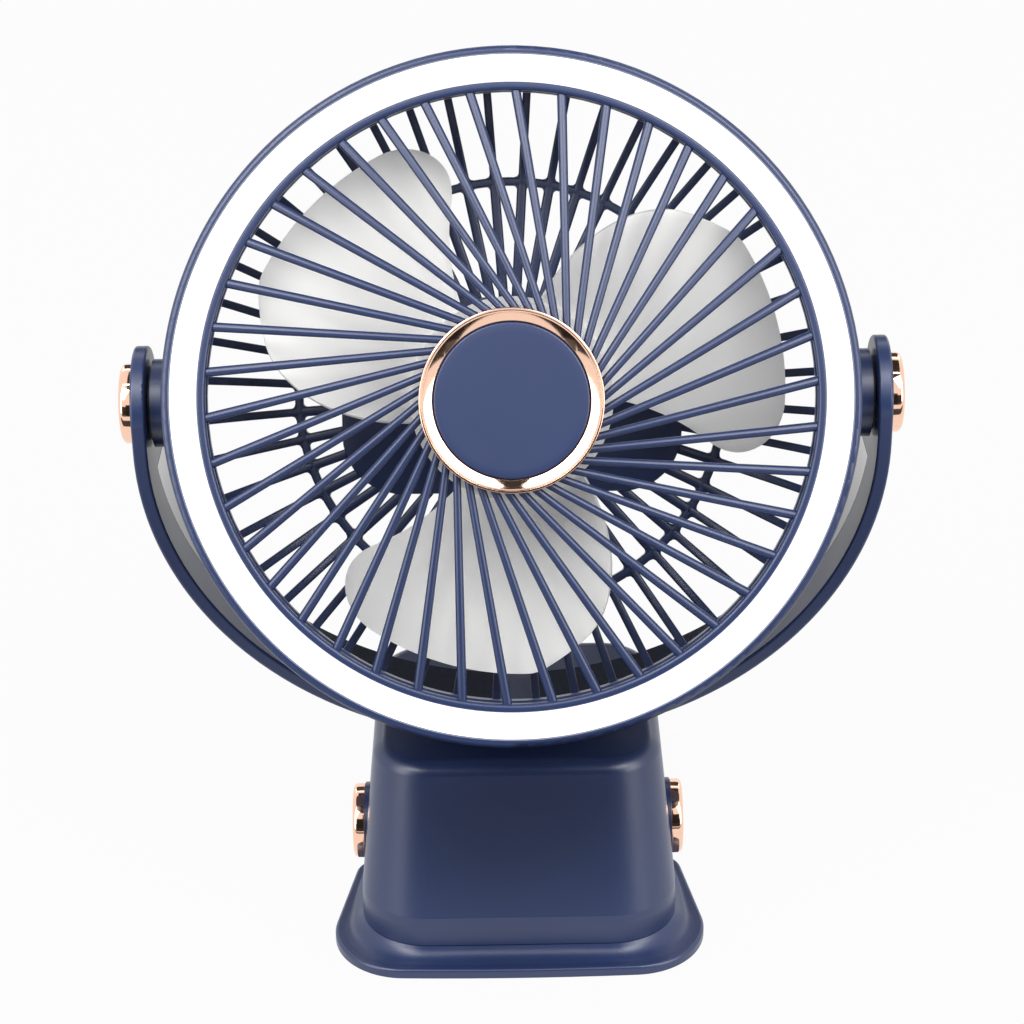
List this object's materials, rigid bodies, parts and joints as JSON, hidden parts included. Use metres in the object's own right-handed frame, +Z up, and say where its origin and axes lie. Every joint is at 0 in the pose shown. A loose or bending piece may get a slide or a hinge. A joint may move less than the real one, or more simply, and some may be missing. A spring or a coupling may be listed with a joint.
{
  "type": "clip-on fan",
  "caption": "Small rechargeable clip-on fan: a round head with a ring light tilts in a U-shaped yoke that swivels on the upper jaw of a sprung clip",
  "frame": {"origin": "on the floor under the swivel axis, in the face of the pad that the fan stands on", "axes": "+X to the viewer's right, -Y the way the fan faces, +Z up"},
  "size_m": [0.1766, 0.0992, 0.2129],
  "materials": {
    "navy_plastic": "satin injection-moulded plastic",
    "dark_gloss": "glossy dark blue plastic",
    "rose_gold": "satin rose-gold plating",
    "light_white": "milky diffuser, lit",
    "fan_grey": "light grey satin plastic",
    "rubber": "soft black rubber",
    "nylon": "natural nylon",
    "steel": "bright zinc-plated steel",
    "spring_steel": "oiled spring wire",
    "core_steel": "laminated core",
    "magnet": "sintered ferrite",
    "bush_bronze": "sintered bronze",
    "copper": "turned copper",
    "board_green": "solder mask",
    "board_white": "white solder mask",
    "chip_yellow": "phosphor-coated chips",
    "switch_black": "moulded switch bodies",
    "cell_wrap": "plain shrink wrap",
    "lens_clear": "clear light pipe",
    "button_grey": "satin button"
  },
  "bodies": {
    "base": {"base_plate": "navy_plastic", "base_pad": "rubber", "lower_jaw_pad": "rubber"},
    "column": {"column_shell": "navy_plastic", "column_front_cover": "navy_plastic", "column_rear_cover": "navy_plastic", "column_screws": "steel", "upper_jaw_pad": "rubber", "clip_axle": "steel", "clip_spring": "spring_steel", "clip_knob_left": "rose_gold", "clip_knob_right": "rose_gold"},
    "yoke": {"yoke_frame": "navy_plastic", "yoke_cover_left": "dark_gloss", "yoke_cover_right": "dark_gloss", "swivel_ring": "nylon", "swivel_washer": "steel", "swivel_screw": "steel", "pivot_knob_left": "rose_gold", "pivot_knob_right": "rose_gold"},
    "head": {"head_shell": "navy_plastic", "light_diffuser": "light_white", "led_board": "board_white", "led_chips": "chip_yellow", "front_grille": "navy_plastic", "hub_trim_ring": "rose_gold", "hub_cap": "navy_plastic", "rear_grille": "navy_plastic", "shell_screws": "steel", "control_cover": "navy_plastic", "cover_screws": "steel", "control_board": "board_green", "button_switches": "switch_black", "status_lens": "lens_clear", "charge_port": "steel", "battery_cell": "cell_wrap", "motor_can": "steel", "motor_front_bush": "bush_bronze", "motor_end_cap": "nylon", "motor_rear_bush": "bush_bronze", "motor_screws": "steel", "motor_magnets": "magnet", "motor_brushes": "copper", "pivot_washers": "nylon", "pivot_screws": "steel"},
    "rotor": {"fan_blade": "fan_grey", "motor_shaft": "steel", "armature": "core_steel", "commutator": "copper"},
    "speed_button": {"speed_button": "button_grey"},
    "light_button": {"light_button": "button_grey"}
  },
  "joints": [
    {"name": "clip_open", "type": "hinge", "parent": "base", "child": "column", "pos_m": [0, 0, 0.021], "axis": [-1, 0, 0], "range_deg": [0, 32], "stiffness_Nm_per_rad": 0.5, "springref_deg": -45.84, "deforming": ["clip_spring"]},
    {"name": "yoke_swivel", "type": "hinge", "parent": "column", "child": "yoke", "pos_m": [0, 0, 0.0495], "axis": [0, 0, 1], "range_deg": [-180, 180]},
    {"name": "head_tilt", "type": "hinge", "parent": "yoke", "child": "head", "pos_m": [0, 0, 0.135], "axis": [-1, 0, 0], "range_deg": [-113.5, 66.5]},
    {"name": "fan_spin", "type": "hinge", "parent": "head", "child": "rotor", "pos_m": [0, 0, 0.135], "axis": [0, -0.9171, 0.3987], "continuous": true},
    {"name": "speed_press", "type": "slide", "parent": "head", "child": "speed_button", "axis": [0, -0.9171, 0.3987], "range_m": [0, 0.0006], "stiffness_N_per_m": 900, "springref_m": -0.0008},
    {"name": "light_press", "type": "slide", "parent": "head", "child": "light_button", "axis": [0, -0.9171, 0.3987], "range_m": [0, 0.0006], "stiffness_N_per_m": 900, "springref_m": -0.0008}
  ]
}
